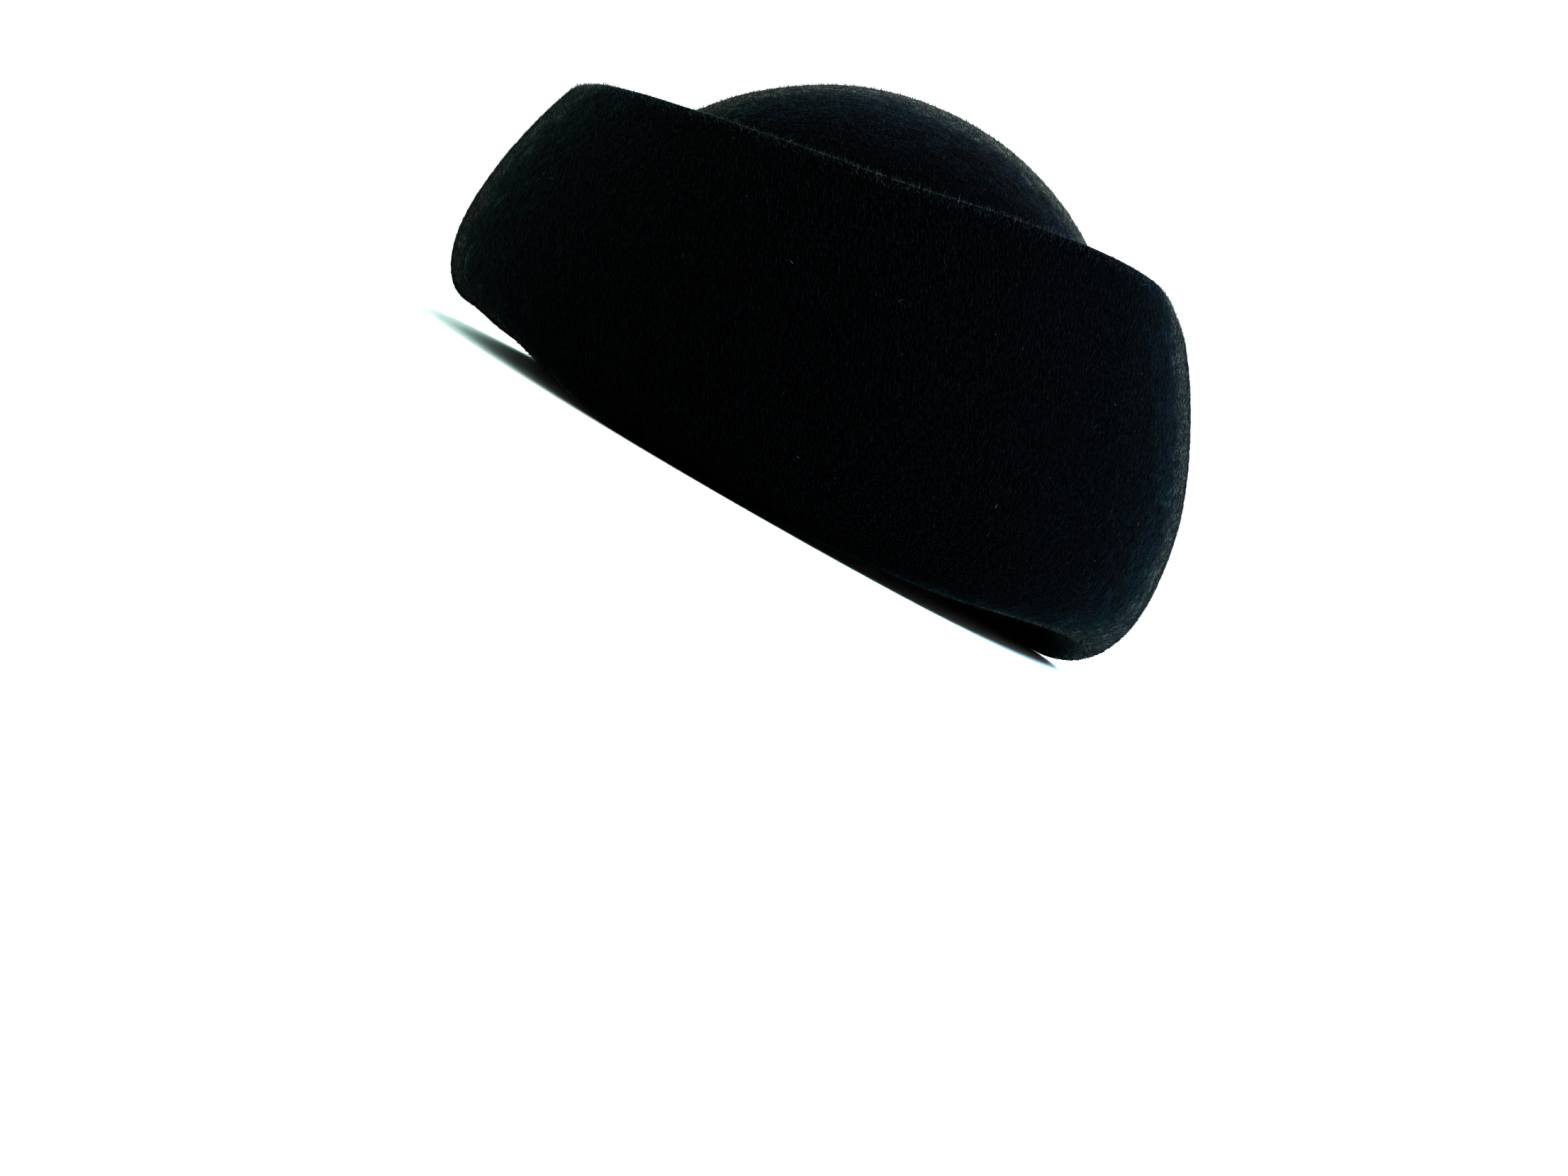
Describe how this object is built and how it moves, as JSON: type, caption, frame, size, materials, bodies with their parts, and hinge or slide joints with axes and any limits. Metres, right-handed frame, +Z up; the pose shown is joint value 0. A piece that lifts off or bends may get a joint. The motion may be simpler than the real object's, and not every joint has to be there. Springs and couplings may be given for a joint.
{
  "type": "pillbox hat",
  "caption": "Black velour felt pillbox hat with a domed crown and a deep turned-up brim that stands round it as a slanting cuff.",
  "frame": {"origin": "middle of the hat's box on the surface that the hat rests on, under the middle of the head opening", "axes": "+X to the wearer's left, +Y to the back of the head, +Z up through the crown"},
  "size_m": [0.214, 0.234, 0.117],
  "materials": {
    "velour_felt": "black fur felt with a short brushed pile, dull, with a cool sheen at grazing angles"
  },
  "bodies": {
    "root": {"felt_body": "velour_felt"}
  },
  "joints": []
}
